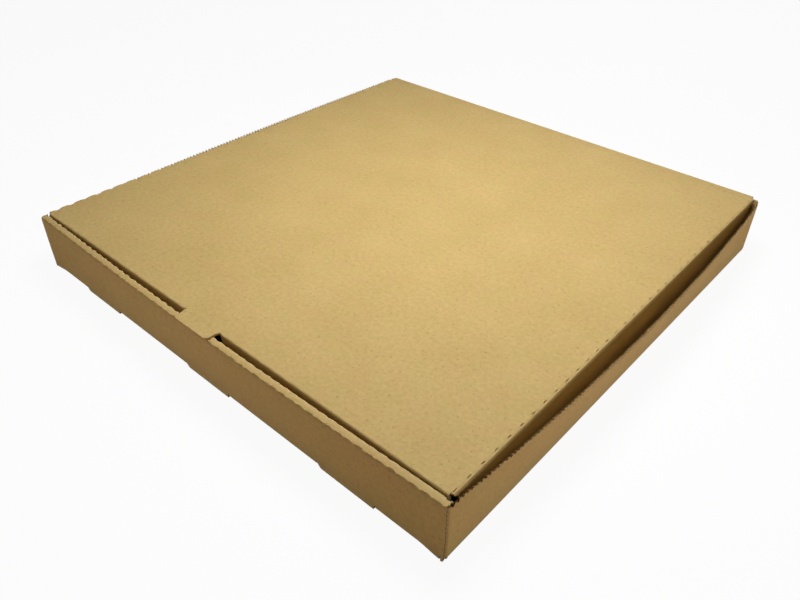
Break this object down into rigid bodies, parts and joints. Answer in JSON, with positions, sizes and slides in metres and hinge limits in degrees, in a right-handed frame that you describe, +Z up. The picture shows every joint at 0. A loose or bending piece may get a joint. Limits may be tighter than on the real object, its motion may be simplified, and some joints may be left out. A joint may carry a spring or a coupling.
{
  "type": "corrugated cardboard pizza box",
  "caption": "Square folded corrugated box for a pizza, with a roll-over locking front wall and a hinged lid with tuck flaps and a thumb tab.",
  "frame": {"origin": "middle of the base's underside, which lies flat on what the box stands on", "axes": "+X along the front wall to the right, the front wall faces -Y, +Z up"},
  "size_m": [0.4236, 0.4138, 0.0481],
  "materials": {
    "kraft_board_tray": "plain uncoated kraft, matte",
    "kraft_board_lid": "plain uncoated kraft, matte"
  },
  "bodies": {
    "tray": {"tray": "kraft_board_tray"},
    "lid": {"lid": "kraft_board_lid"}
  },
  "joints": [
    {"name": "lid_hinge", "type": "hinge", "parent": "tray", "child": "lid", "pos_m": [0, 0.2042, 0.0473], "axis": [-1, 0, 0], "range_deg": [0, 186]}
  ]
}
